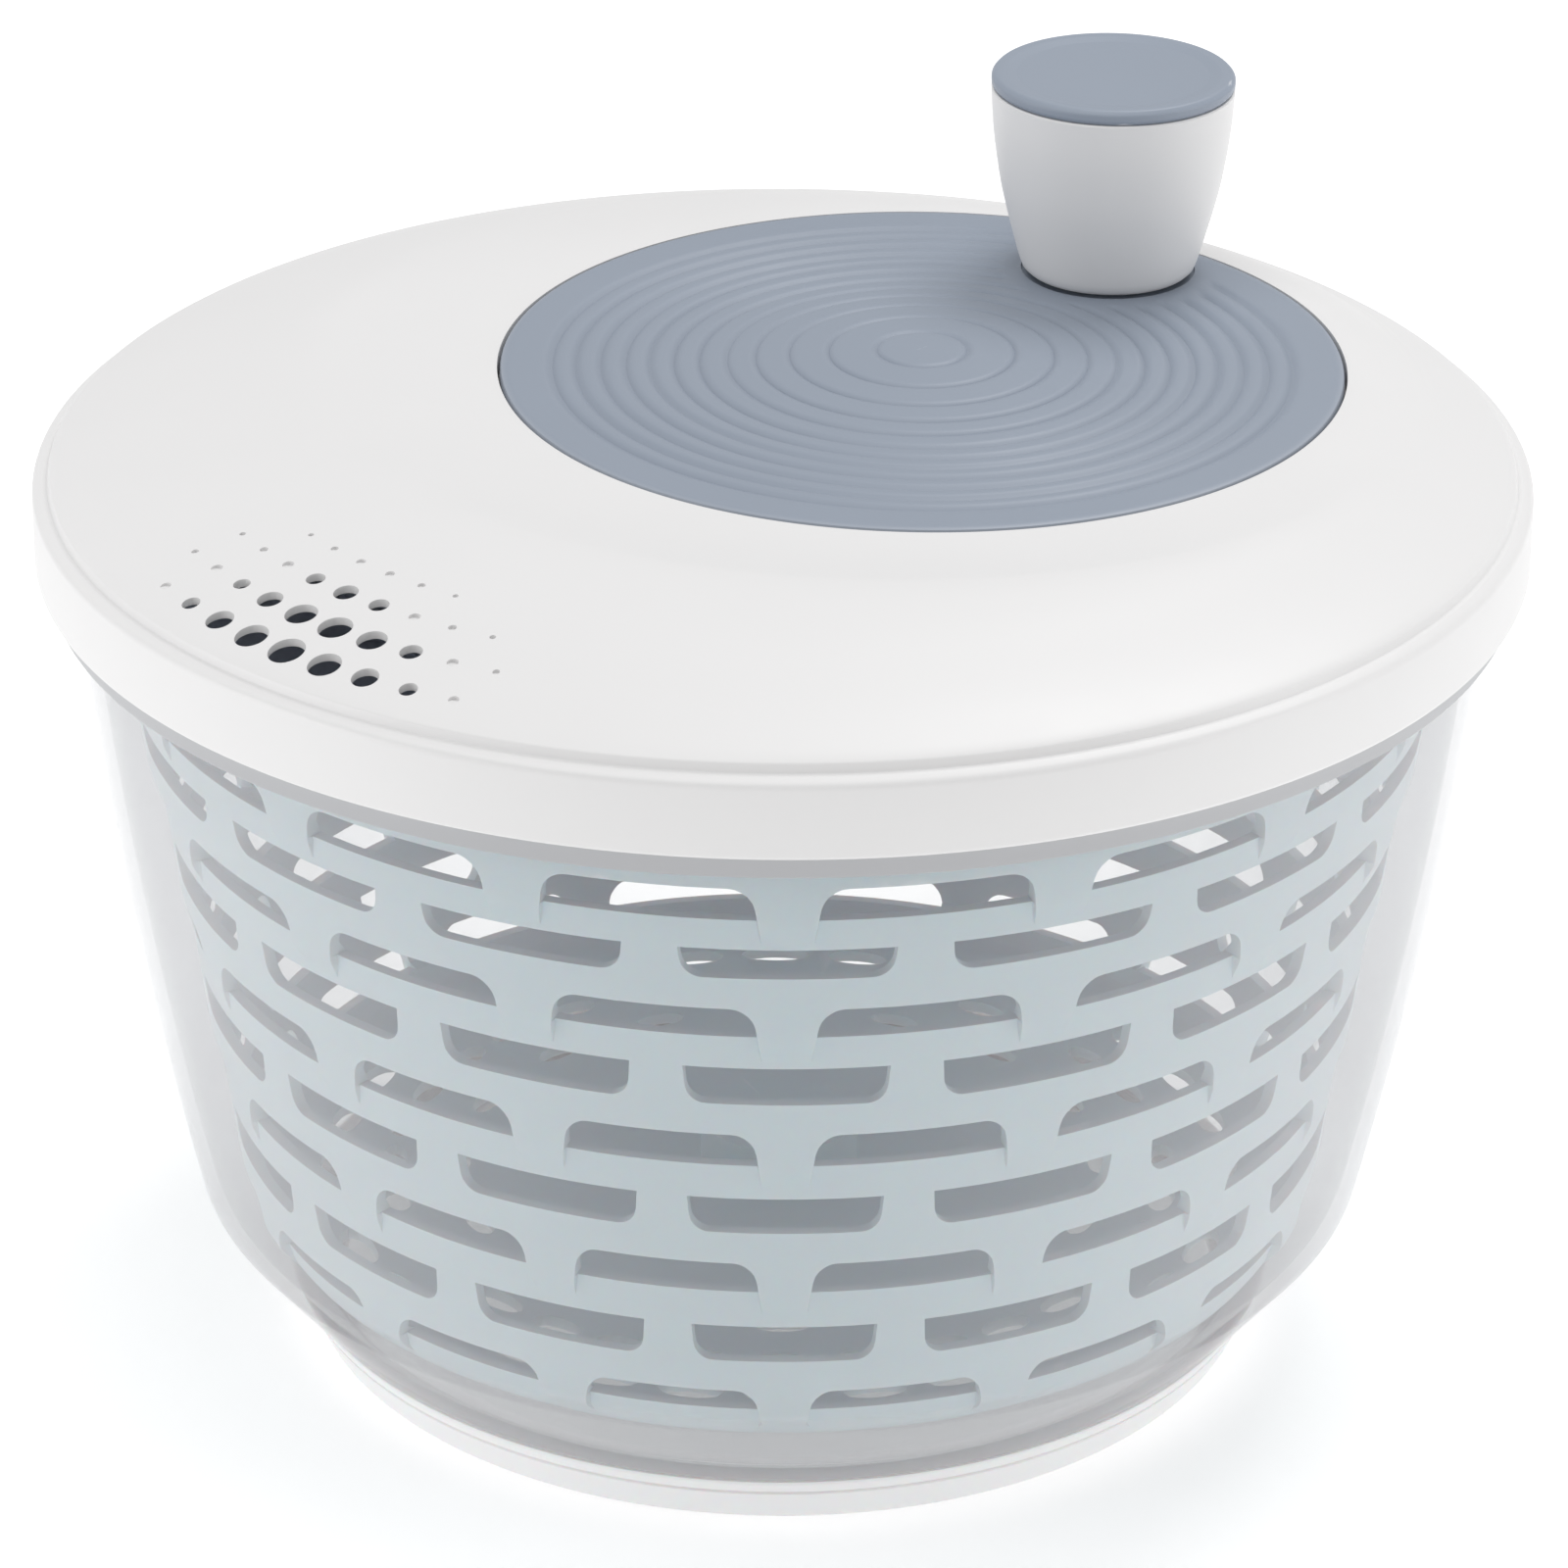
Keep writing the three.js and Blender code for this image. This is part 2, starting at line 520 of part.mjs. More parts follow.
LID_SCREW_ANGLES.forEach((a, i) => add(`housing_screw_${i + 1}`, screw(
  polar(DISC, LID_SCREW_R, a), 155.9, { head: 3.4, headHeight: 2, shank: 1.2, length: 8 }), steel));
add('crank_disc', crankDisc(), slate);
add('ring_gear', ringGear(), acetal);
GEAR_SCREW_ANGLES.forEach((a, i) => add(`gear_screw_${i + 1}`, screw(
  polar(DISC, GEAR_SCREW_R, a), 156.3, { head: 2.6, headHeight: 0.7, shank: 1.1, length: 9.5 }), steel));
add('crank_washer', lathe([[1.9, 151.1], [8, 151.1], [8, 152.3], [1.9, 152.3]], 20, DISC), steel);
add('crank_screw', screw(DISC, 148.6, { head: 3.4, headHeight: 2.2, shank: 1.4, length: 11 }), steel);
knobParts();

export default model;
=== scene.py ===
"""Salad spinner: the visible shells, basket and knob at full detail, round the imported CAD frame."""
import json
import math

import bpy
from mathutils import Matrix, Vector


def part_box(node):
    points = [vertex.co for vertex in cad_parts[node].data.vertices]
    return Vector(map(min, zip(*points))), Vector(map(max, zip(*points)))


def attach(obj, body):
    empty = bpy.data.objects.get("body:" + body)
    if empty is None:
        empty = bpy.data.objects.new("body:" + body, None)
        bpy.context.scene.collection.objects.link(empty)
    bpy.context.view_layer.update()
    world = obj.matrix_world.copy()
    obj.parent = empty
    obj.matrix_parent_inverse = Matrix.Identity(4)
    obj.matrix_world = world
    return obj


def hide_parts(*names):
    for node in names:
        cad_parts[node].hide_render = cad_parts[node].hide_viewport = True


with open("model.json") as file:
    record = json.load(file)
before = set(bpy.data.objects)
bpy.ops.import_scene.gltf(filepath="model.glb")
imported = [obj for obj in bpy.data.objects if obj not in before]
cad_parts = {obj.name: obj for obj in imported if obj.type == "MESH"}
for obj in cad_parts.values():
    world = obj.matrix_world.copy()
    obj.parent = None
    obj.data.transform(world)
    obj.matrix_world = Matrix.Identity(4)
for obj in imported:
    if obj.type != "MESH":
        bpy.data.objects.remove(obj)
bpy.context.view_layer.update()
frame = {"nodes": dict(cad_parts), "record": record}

MM = 0.001                      # shapes below are worked out in millimetres


# ---- Places and sizes taken from the frame, in millimetres ----
def box_mm(node):
    low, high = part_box(node)
    return Vector(low) / MM, Vector(high) / MM


def middle_of(node):
    low, high = box_mm(node)
    return ((low.x + high.x) / 2, (low.y + high.y) / 2)


AXIS = (0.0, 0.0)
DISC = middle_of("crank_disc")
KNOB = middle_of("knob_cap")
LID_LOW, LID_HIGH = box_mm("lid_shell")
FOOT_HIGH = box_mm("foot_ring")[1]
BASKET_LOW = box_mm("basket")[0]
PLATE_LOW, PLATE_HIGH = box_mm("drive_plate")
CAP_LOW, CAP_HIGH = box_mm("knob_cap")
BODY_LOW, BODY_HIGH = box_mm("knob_body")
GEAR_HIGH = box_mm("ring_gear")[1]

SKIRT_R = LID_HIGH.x
SKIRT_Z = LID_LOW.z
RIM_Z = SKIRT_Z + 17
DISC_R = (box_mm("crank_disc")[1].x - box_mm("crank_disc")[0].x) / 2
DISC_TOP = GEAR_HIGH.z + 8.7
DISC_UNDER = DISC_TOP - 4.1


# ---- Mesh helpers ----
def make_object(name, points, faces, sharp=35, replaces=(), body=None, material=None, slot=None):
    """A smooth-shaded mesh from points in millimetres, with edges over `sharp` degrees kept crisp."""
    mesh = bpy.data.meshes.new(name)
    mesh.from_pydata([Vector(p) * MM for p in points], [], faces)
    mesh.validate()
    mesh.shade_smooth()
    mesh.set_sharp_from_angle(angle=math.radians(sharp))
    obj = bpy.data.objects.new(name, mesh)
    bpy.context.scene.collection.objects.link(obj)
    if material:
        mesh.materials.append(material)
    if replaces:
        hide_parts(*replaces)
    if body:
        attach(obj, body)
    return obj


def polar(centre, r, a):
    return (centre[0] + r * math.cos(a), centre[1] + r * math.sin(a))


def mix(a, b, t):
    return a + (b - a) * t


def smoothstep(a, b, x):
    t = min(1, max(0, (x - a) / (b - a)))
    return t * t * (3 - 2 * t)


def curve(table, x):
    """Smooth reading of a table of (x, y) rows whose x rises."""
    last = len(table) - 2
    i = min(last, max(0, next((k - 1 for k, row in enumerate(table) if row[0] >= x), last)))
    (x0, y0), (x1, y1) = table[i], table[i + 1]

    def slope(k):
        a, b = table[max(0, k - 1)], table[min(last + 1, k + 1)]
        return (b[1] - a[1]) / (b[0] - a[0])
    h = x1 - x0
    t = (x - x0) / h
    return ((2 * t ** 3 - 3 * t ** 2 + 1) * y0 + (t ** 3 - 2 * t ** 2 + t) * h * slope(i)
            + (3 * t ** 2 - 2 * t ** 3) * y1 + (t ** 3 - t ** 2) * h * slope(i + 1))


def fillet(corners, steps=4):
    """Round a closed run of (r, z) or (r, z, radius) corners."""
    out = []
    count = len(corners)
    for i, corner in enumerate(corners):
        here = Vector(corner[:2])
        radius = corner[2] if len(corner) > 2 else 0
        if not radius:
            out.append(tuple(here))
            continue
        to_last = Vector(corners[i - 1][:2]) - here
        to_next = Vector(corners[(i + 1) % count][:2]) - here
        half = to_last.angle(to_next) / 2
        reach = min(radius / math.tan(half), to_last.length * 0.49, to_next.length * 0.49)
        start = here + to_last.normalized() * reach
        end = here + to_next.normalized() * reach
        for k in range(steps + 1):
            t = k / steps
            out.append(tuple((1 - t) ** 2 * start + 2 * t * (1 - t) * here + t ** 2 * end))
    return out


def lathe_data(profile, columns, centre=AXIS):
    """Points and faces of a closed (r, z) profile turned about the vertical through centre."""
    points, rings, faces = [], [], []
    for r, z in profile:
        ring = []
        for k in range(1 if r < 1e-6 else columns):
            ring.append(len(points))
            points.append((*polar(centre, r, k * math.tau / columns), z))
        rings.append(ring)
    for low, high in zip(rings, rings[1:] + rings[:1]):
        if len(low) == len(high) == 1:
            continue
        for k in range(columns):
            quad = [low[k % len(low)], low[(k + 1) % len(low)],
                    high[(k + 1) % len(high)], high[k % len(high)]]
            face = [v for j, v in enumerate(quad) if v != quad[j - 1]]
            faces.append(face)
    return points, faces


def lathe(name, profile, columns=128, centre=AXIS, **finish):
    return make_object(name, *lathe_data(profile, columns, centre), **finish)


def loft(name, rings, **finish):
    """A closed skin through rings of equal length; the last ring joins the first."""
    columns = len(rings[0])
    points = [p for ring in rings for p in ring]
    faces = []
    for i in range(len(rings)):
        a, b = i * columns, (i + 1) % len(rings) * columns
        for k in range(columns):
            n = (k + 1) % columns
            faces.append((a + k, a + n, b + n, b + k))
    return make_object(name, points, faces, **finish)


def boolean(obj, tools, operation="DIFFERENCE"):
    """Cuts the tools, each (points, faces) in millimetres, out of obj, or joins them on."""
    points, faces = [], []
    for tool_points, tool_faces in tools:
        faces += [[v + len(points) for v in face] for face in tool_faces]
        points += tool_points
    tool = make_object(obj.name + "_tool", points, faces)
    modifier = obj.modifiers.new("cut", "BOOLEAN")
    modifier.object = tool
    modifier.operation = operation
    modifier.solver = "EXACT"
    apply_modifiers(obj)
    bpy.data.objects.remove(tool)


def apply_modifiers(obj):
    depsgraph = bpy.context.evaluated_depsgraph_get()
    depsgraph.update()
    mesh = bpy.data.meshes.new_from_object(obj.evaluated_get(depsgraph))
    old = obj.data
    obj.modifiers.clear()
    obj.data = mesh
    bpy.data.meshes.remove(old)


def soften_edges(obj, width, segments=2, angle=40):
    """Rounds every edge sharper than `angle` by `width` millimetres."""
    bevel = obj.modifiers.new("edges", "BEVEL")
    bevel.width = width * MM
    bevel.segments = segments
    bevel.limit_method = "ANGLE"
    bevel.angle_limit = math.radians(angle)
    bevel.harden_normals = True


# ---- Materials ----
def plastic(name, colour, roughness, grain=0.05, shade=0.03, edge=0.0, **sockets):
    """Moulded plastic: mottled colour, fine surface grain, uneven gloss and paler sharp edges, a
    painted edge highlight.
    """
    material = bpy.data.materials.new(name)
    material.use_nodes = True
    nodes, links = material.node_tree.nodes, material.node_tree.links
    shader = nodes["Principled BSDF"]
    for socket, value in {"IOR": 1.49, **sockets}.items():
        shader.inputs[socket].default_value = value
    place = nodes.new("ShaderNodeTexCoord").outputs["Object"]

    def noise(scale, detail=3.0):
        texture = nodes.new("ShaderNodeTexNoise")
        texture.inputs["Scale"].default_value = scale
        texture.inputs["Detail"].default_value = detail
        links.new(place, texture.inputs["Vector"])
        return texture.outputs["Fac"]

    mottle = nodes.new("ShaderNodeMix")
    mottle.data_type = "RGBA"
    mottle.inputs["A"].default_value = (*[c * (1 - shade) for c in colour], 1)
    mottle.inputs["B"].default_value = (*[min(1, c * (1 + shade)) for c in colour], 1)
    links.new(noise(14), mottle.inputs["Factor"])
    result = mottle.outputs["Result"]
    # Paler where the surface is pointy: a painted highlight on sharp edges.
    if edge:
        ramp = nodes.new("ShaderNodeMapRange")
        ramp.inputs["From Min"].default_value = 0.52
        ramp.inputs["From Max"].default_value = 0.62
        links.new(nodes.new("ShaderNodeNewGeometry").outputs["Pointiness"], ramp.inputs["Value"])
        scaled = nodes.new("ShaderNodeMath")
        scaled.operation = "MULTIPLY"
        scaled.inputs[1].default_value = edge
        links.new(ramp.outputs["Result"], scaled.inputs[0])
        paler = nodes.new("ShaderNodeMix")
        paler.data_type = "RGBA"
        paler.inputs["B"].default_value = (*[mix(c, 1, 0.55) for c in colour], 1)
        links.new(scaled.outputs["Value"], paler.inputs["Factor"])
        links.new(result, paler.inputs["A"])
        result = paler.outputs["Result"]
    links.new(result, shader.inputs["Base Color"])
    gloss = nodes.new("ShaderNodeMapRange")
    gloss.inputs["To Min"].default_value = roughness * 0.88
    gloss.inputs["To Max"].default_value = roughness * 1.12
    links.new(noise(60), gloss.inputs["Value"])
    links.new(gloss.outputs["Result"], shader.inputs["Roughness"])
    if grain:
        bump = nodes.new("ShaderNodeBump")
        bump.inputs["Strength"].default_value = grain
        bump.inputs["Distance"].default_value = 0.0002
        links.new(noise(1800, 2), bump.inputs["Height"])
        links.new(bump.outputs["Normal"], shader.inputs["Normal"])
    return material


def clear_plastic(name, colour, face_alpha, edge_alpha, mirror):
    """Clear moulded plastic: nearly invisible face on, and greyer where the wall is seen edge on."""
    material = plastic(name, colour, 0.06, grain=0, shade=0.01,
                       **{"Alpha": face_alpha, "Specular IOR Level": mirror})
    nodes, links = material.node_tree.nodes, material.node_tree.links
    shader = nodes["Principled BSDF"]
    facing = nodes.new("ShaderNodeLayerWeight")
    facing.inputs["Blend"].default_value = 0.42
    depth = nodes.new("ShaderNodeMapRange")
    depth.inputs["To Min"].default_value = face_alpha
    depth.inputs["To Max"].default_value = edge_alpha
    links.new(facing.outputs["Facing"], depth.inputs["Value"])
    links.new(depth.outputs["Result"], shader.inputs["Alpha"])
    return material


def metal(name, colour, roughness):
    """Plain steel, with a fine grain and a little tarnish."""
    return plastic(name, colour, roughness, grain=0.08, shade=0.08, Metallic=1.0)


WHITE = plastic("white_plastic", (0.78, 0.775, 0.775), 0.42, grain=0.05, shade=0.012)
# Grey copy of the white for the lid skirt's lower lip: painted shade under the skirt's step, on a
# part that is white.
LIP_SHADE = plastic("lip_painted_shade", (0.43, 0.435, 0.45), 0.4, grain=0.05, shade=0.02)
# The edge values on the slate and the mint paint a highlight on their sharp edges.
SLATE = plastic("slate_plastic", (0.275, 0.315, 0.38), 0.46, grain=0.06, shade=0.03, edge=0.5)
# A lighter copy of the slate for the drive plate: painted light on a plate that lies in shade under
# the lid and shows through the pour holes.
PLATE_SLATE_PAINTED_LIGHT = plastic("slate_web_painted_light", (0.42, 0.46, 0.56), 0.5, grain=0.05, shade=0.03)
MINT = plastic("mint_plastic", (0.63, 0.745, 0.785), 0.32, grain=0.04, shade=0.02, edge=0.55,
               **{"Subsurface Weight": 0.35, "Subsurface Scale": 0.004})
ACETAL = plastic("acetal", (0.80, 0.78, 0.72), 0.3, grain=0.03, shade=0.02)
FROSTED = plastic("frosted_rubber", (0.86, 0.855, 0.86), 0.4, grain=0.08, shade=0.02,
                  **{"Subsurface Weight": 0.3, "Subsurface Scale": 0.004})
CLEAR = clear_plastic("clear_plastic", (0.62, 0.615, 0.63), 0.04, 0.58, 0.2)
STEEL = metal("steel", (0.60, 0.61, 0.63), 0.28)


# ---- Bowl and foot ring ----
BOWL_TOP_R, BOWL_TURN_R, BOWL_BULGE = 124.1, 106.6, 1.9
BOWL_TURN_Z = 30.6
BOWL_WALL = 2.5


def bowl_radius(z):
    u = (SKIRT_Z - z) / (SKIRT_Z - BOWL_TURN_Z)
    return mix(BOWL_TOP_R, BOWL_TURN_R, u) + 4 * BOWL_BULGE * u * (1 - u)


def bowl():
    heights = [mix(BOWL_TURN_Z + 2.5, SKIRT_Z, k / 24) for k in range(25)]
    outside = [(bowl_radius(z), z) for z in heights]
    inside = [(bowl_radius(z) - BOWL_WALL, z + 0.5) for z in reversed(heights)]
    foot = FOOT_HIGH.z
    profile = fillet([
        (0, 9.8), (83.3, 9.8, 0.8), (83.3, 2.3, 0.5), (85.6, 2.3, 0.5), (85.6, foot + 0.3, 0.4),
        (91, foot + 0.3, 0.8), (106.3, 29.4, 4),
        *outside, (125, 153, 3), (126.4, 156.5, 2), (126.4, 161.9, 0.8), (123.6, 161.9, 0.8),
        (122.6, 153, 3),
        *inside, (103.6, 30.2, 4), (90, 12.3, 5), (8, 12.3, 1), (5, 14.5, 0.8), (5, 27, 0.5),
        (3.3, 27, 0.3), (3.3, 16), (0, 16),
    ])
    lathe("bowl_clear", profile, 192, replaces=["bowl"], body="bowl", material=CLEAR,
          slot="clear_plastic")


def foot_ring():
    inner, low = 85.9, 2.0
    profile = fillet([
        (80.5, 0, 0.6), (86.4, 0, 1.2), (88.9, 5.6, 0.3), (89.3, 6.4, 0.25), (88.7, 6.75, 0.2),
        (89.5, 7.1, 0.25), (91, FOOT_HIGH.z, 0.7), (inner, FOOT_HIGH.z, 0.5), (inner, low, 0.4),
        (80.5, low, 0.5),
    ])
    lathe("foot_band", profile, 192, replaces=["foot_ring"], body="bowl", material=FROSTED,
          slot="frosted_rubber")


# ---- Basket ----
SLOTS = 16
PITCH = math.tau / SLOTS
FRONT = math.radians(-89.4)     # an A rib's centre, towards the user
WALL_R = 106                    # mean radius, to turn widths into angles
RIB_A = 4.95 / WALL_R           # half widths of the ribs, as angles
RIB_B = 4.3 / WALL_R
ROUND_A, ROUND_B = 3.8, 3.2     # corner radii of the slots
WALL = 2.2
NOTCH_Z = 140
FLOOR_Z = BASKET_LOW.z
HUB_R, HUB_Z = 12.3, 30.0
# Each tier of the wall: its outside radius at the top and at the bottom, then the heights of its
# B slots' top and bottom and of its A slots' top and bottom.
TIERS = (
    (118.2, 116.3, 146.5, 146.5, 137.7, 131.2),
    (114.4, 112.0, 125.4, 119.8, 113.7, 107.4),
    (109.6, 107.1, 101.1, 93.9, 87.7, 81.0),
    (105.3, 102.9, 74.2, 67.2, 60.8, 54.3),
    (100.8, 98.4, 46.9, 39.6, 33.1, 28.2),
    (95.6, 94.0, 25.0, 20.0, 20.0, 20.0),
)
# Rings of oval drain holes in the floor: radius, half width, and which ribs they line up with.
DRAINS = ((82, 2.6, "A"), (82, 2.6, "B"), (71, 2.4, "A"), (71, 2.4, "B"), (59, 2.2, "A"))


def corner_angles(edge, radius, way):
    return [edge + way * radius / WALL_R * (1 - math.cos(k * math.pi / 10)) for k in range(1, 6)]


def pitch_angles():
    """Angles from one A rib's centre to the next, close together round the slots' corners."""
    b_edge = PITCH / 2 - RIB_B
    half = [0, RIB_A / 2, RIB_A, *corner_angles(RIB_A, ROUND_A, 1)]
    half += [mix(half[-1], b_edge - ROUND_B / WALL_R, t) for t in (1 / 3, 2 / 3)]
    half += [*reversed(corner_angles(b_edge, ROUND_B, -1)), b_edge, b_edge + RIB_B / 2]
    return half + [PITCH / 2] + [PITCH - a for a in reversed(half[1:])]


ANGLES = pitch_angles()
COLUMNS = len(ANGLES) * SLOTS


def from_rib(column):
    """Signed angle from the nearest A rib's centre."""
    a = ANGLES[column % len(ANGLES)]
    return a if a <= PITCH / 2 else a - PITCH


def arc_drop(distance, radius):
    """How far a rounded corner leaves the slot's edge, at a distance from the slot's side."""
    d = min(radius, max(0, distance))
    return radius - math.sqrt(radius ** 2 - (radius - d) ** 2)


def cone(tier, z):
    top_r, low_r, top_z, _, _, low_z = TIERS[tier]
    return mix(top_r, low_r, (top_z - z) / (top_z - low_z))


class Skin:
    """An open outer sheet and its inner twin, sewn together along every free edge."""

    def __init__(self):
        self.keys, self.outer, self.inner, self.faces = {}, [], [], []

    def corner(self, column, angle, out, inn):
        key = (column % COLUMNS if out[0] > 0 else 0, round(out[0], 4), round(out[1], 4))
        if key not in self.keys:
            self.keys[key] = len(self.outer)
            self.outer.append((*polar(AXIS, out[0], angle), out[1]))
            self.inner.append((*polar(AXIS, inn[0], angle), inn[1]))
        return self.keys[key]

    def quad(self, *corners):
        face = [c for i, c in enumerate(corners) if c != corners[i - 1]]
        if len(face) > 2:
            self.faces.append(face)

    def sewn(self):
        count = len(self.outer)
        edges = {(f[i - 1], f[i]) for f in self.faces for i in range(len(f))}
        walls = [(b, a, a + count, b + count) for a, b in edges if (b, a) not in edges]
        inside = [[v + count for v in reversed(f)] for f in self.faces]
        return self.outer + self.inner, self.faces + sorted(walls) + inside


def basket():
    skin = Skin()

    def strip(rows, holds=lambda column: True):
        """Rows run from the top down. Each maps a column to (angle shift, outer (r, z), inner (r, z))
        and `holds` tells which columns have a face."""
        grid = []
        for row in rows:
            line = []
            for column in range(COLUMNS + 1):
                shift, out, inn = row(column)
                turn = FRONT + column // len(ANGLES) * PITCH + ANGLES[column % len(ANGLES)] + shift
                line.append(skin.corner(column, turn, out, inn))
            grid.append(line)
        for high, low in zip(grid, grid[1:]):
            for c in range(COLUMNS):
                if holds(c):
                    skin.quad(low[c], low[c + 1], high[c + 1], high[c])

    def sway(tier, column, z):
        """A ribs narrow towards their foot, and B ribs widen."""
        a = from_rib(column)
        side = math.copysign(1, a)
        _, _, b_top, b_low, a_top, a_low = TIERS[tier]
        near_a = (abs(a) >= RIB_A - 1e-6) * (1 - smoothstep(RIB_A, RIB_A + 0.05, abs(a)))
        near_b = 1 - smoothstep(0.01, 0.06, abs(abs(a) - (PITCH / 2 - RIB_B)))
        foot = a_low - 5
        narrow, widen = 0.004, 0.005
        if z <= a_top:
            narrow = mix(narrow, -0.011, min(1, max(0, (a_top - z) / (a_top - foot))))
        else:
            widen *= min(1, max(0, (b_top - z) / max(1, b_top - b_low)))
        return side * (near_a * narrow - near_b * widen * (z > a_top + 0.5))

    def wall(tier, height, blend=0.0):
        """A row on a tier's cone. `blend` leads the inner face in to the next tier's."""
        def row(column):
            z = height(column) if callable(height) else height
            r = cone(tier, z)
            inner = mix(r, cone(tier + 1, z), blend) - WALL if blend else r - WALL
            return sway(tier, column, z), (r, z), (inner, z)
        return row

    def ring(tier, z, top):
        """A row of the ring over a tier, with the A ribs of the tier above running down its face."""
        def row(column):
            r = cone(tier, z)
            proud = cone(tier - 1, z) - r
            on_rib = abs(from_rib(column)) <= RIB_A + 1e-6
            fade = 1 - smoothstep(0, 5.2, top - z)
            return sway(tier - 1, column, z), (r + proud * on_rib * fade, z), (r - WALL, z)
        return row

    def a_top(tier):
        def height(column):
            side = (abs(from_rib(column)) - RIB_A) * WALL_R
            return TIERS[tier][4] - arc_drop(side, ROUND_A)
        return height

    def b_low(tier):
        def height(column):
            side = (PITCH / 2 - RIB_B - abs(from_rib(column))) * WALL_R
            return TIERS[tier][3] + arc_drop(side, ROUND_B)
        return height

    def between(high, low, t):
        return lambda column: mix(high(column), low(column), t)

    def in_rib(column, test):
        return test(from_rib(column)) and test(from_rib(column + 1))

    def in_a(column):
        return in_rib(column, lambda a: abs(a) <= RIB_A + 1e-6)

    def in_b(column):
        return in_rib(column, lambda a: abs(a) >= PITCH / 2 - RIB_B - 1e-6)

    def in_rim(column):
        a, b = ANGLES[column % len(ANGLES)], ANGLES[(column + 1) % len(ANGLES)]
        notched = column // len(ANGLES) % 4 == 0 and a >= RIB_A - 1e-6 and 0 < b <= PITCH / 2 + 1e-6
        return not notched

    strip([wall(0, z) for z in (TIERS[0][2], 145.9, 143, NOTCH_Z)], in_rim)
    for tier in range(5):
        low = a_top(tier)
        high = b_low(tier) if tier else (lambda column: NOTCH_Z)
        strip([wall(tier, between(high, low, t)) for t in (0, 0.33, 0.67, 1)])
        foot = TIERS[tier][5]
        strip([wall(tier, between(low, lambda column: foot, t), blend=t) for t in (0, 0.4, 0.75, 1)],
              in_a)
        if tier < 4:
            end = TIERS[tier + 1][2]
            strip([ring(tier + 1, mix(foot, end, t), foot)
                   for t in (0, 0.15, 0.35, 0.55, 0.75, 0.9, 1)])
            strip([wall(tier + 1, between(lambda column: end, b_low(tier + 1), t))
                   for t in (0, 0.5, 1)], in_b)

    def flat(r, z):
        return lambda column: (0.0, (r, z), (r if r > 20 or r == 0 else r + WALL, z + WALL))

    foot = TIERS[4][5]
    heel = [ring(5, z, foot) for z in (foot, 27.2, 26.2, 25.0)]
    turn = [(95.0, 23.6, 93.2, 24.6), (93.9, 22.0, 92.2, 23.5), (92.2, 20.8, 90.9, 22.7),
            (90, 20.15, 89.6, 22.3)]
    heel += [(lambda column, t=t: (0.0, t[:2], t[2:])) for t in turn]
    heel.append(flat(87.5, FLOOR_Z))
    strip(heel)

    def drain_row(radius, way):
        """The edge of the floor along a ring of oval holes, on the side that `way` points to."""
        def row(column):
            a = abs(from_rib(column))
            reach = 0.0
            for r, half, rib in DRAINS:
                if r != radius:
                    continue
                limit = ANGLES[7] if rib == "A" else PITCH / 2 - ANGLES[10]
                off = a if rib == "A" else PITCH / 2 - a
                reach = max(reach, half * math.sqrt(max(0, 1 - (off / limit) ** 2)))
            return flat(radius + way * reach, FLOOR_Z)(column)
        return row

    start = 87.5
    for radius, end in ((82, 76.5), (71, 65), (59, 50)):
        strip([flat(start, FLOOR_Z), drain_row(radius, 1)])
        strip([drain_row(radius, -1), flat(end, FLOOR_Z)])
        start = end
    strip([flat(50, FLOOR_Z), flat(30, FLOOR_Z), flat(HUB_R + 6, FLOOR_Z), flat(HUB_R, FLOOR_Z),
           flat(HUB_R, HUB_Z), flat(0, HUB_Z)])
    obj = make_object("basket_wall", *skin.sewn(), sharp=32, replaces=["basket"], body="basket",
                      material=MINT, slot="mint_plastic")
    soften_edges(obj, 0.35, segments=2, angle=50)


# ---- Lid ----
DISH = polar(AXIS, 25.9, math.radians(56))
DISH_R = 99.5
DISC_HOLE_R = DISC_R + 0.5
SHELF_TOP, SHELF_LOW, SHELF_R = 167.2, 164.8, 63
SHEET = 2.4
CREST_BLEND = 3                 # rings each side that soften the crest
LIP_HIGH = 3.5                  # how far the painted shade on the skirt's lower lip reaches up
# Height of the domed top above the rim bead, by distance from the lid's axis.
DOME = ((0, 14), (50, 13.2), (70, 12.3), (85, 11.1), (96, 9.8), (104, 8.4), (112.5, 6.9), (121, 5),
        (127.4, 2.9), (131, 1.6))
# Rows of pour holes: radius, middle angle, spacing, and hole widths. Those no wider than THROUGH
# are only dimples.
THROUGH = 3.0
HOLE_HALF = 0.46                # a hole's radius, as a share of its width
POUR_ROWS = (
    (121, 228.8, 3.95, (2.0, 3.4, 5.2, 6.2, 6.8, 6.2, 5.0, 3.4, 2.0)),
    (112.5, 228.1, 4.02, (1.4, 2.2, 3.2, 4.8, 6.0, 6.4, 5.6, 4.2, 2.2, 1.4)),
    (104, 226.9, 4.15, (1.2, 1.6, 2.2, 3.6, 4.6, 3.8, 2.2, 1.6, 1.2)),
    (96, 226.0, 4.2, (1.1, 1.5, 1.8, 1.8, 1.5, 1.1)),
)
# The thinned patch round the holes: its middle angle, and where its sides and inner edge fade.
PATCH_TURN, PATCH_SIDES, PATCH_INNER = 228, (20, 25), (86, 91)


def dome(x, y):
    return RIM_Z + curve(DOME, math.hypot(x, y))


def thinned(x, y, drop):
    """The lid's wall is halved under the pour holes, so that they stay shallow."""
    turn = abs((math.degrees(math.atan2(y, x)) - PATCH_TURN + 180) % 360 - 180)
    patch = (1 - smoothstep(*PATCH_SIDES, turn)) * smoothstep(*PATCH_INNER, math.hypot(x, y))
    return drop * (1 - 0.5 * patch)


